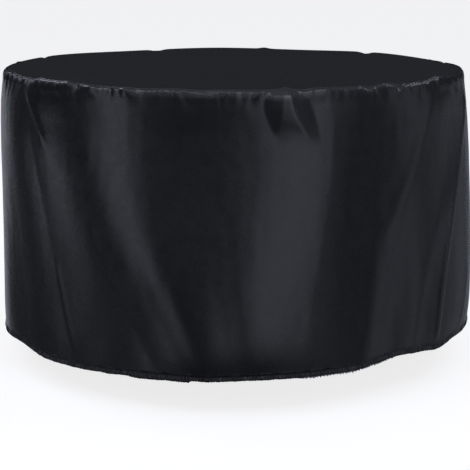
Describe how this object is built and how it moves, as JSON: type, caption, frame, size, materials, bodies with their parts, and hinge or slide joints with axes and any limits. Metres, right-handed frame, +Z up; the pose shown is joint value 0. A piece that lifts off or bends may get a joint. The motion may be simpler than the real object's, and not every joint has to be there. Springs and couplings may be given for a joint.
{
  "type": "fitted patio furniture cover",
  "caption": "Round fitted patio furniture cover in black coated cloth: a flat top panel and a folded hanging skirt with a hemmed edge, hollow and open underneath.",
  "frame": {"origin": "middle of the top panel's underside, at the mount under_top from which the cover hangs", "axes": "+Z up, out of the top panel; -Y towards the front"},
  "size_m": [1.8846, 1.9057, 1.0475],
  "materials": {
    "black_cloth": "satin black coated Oxford weave, silver-grey coating inside"
  },
  "bodies": {
    "root": {"top_panel": "black_cloth", "skirt": "black_cloth"}
  },
  "joints": []
}
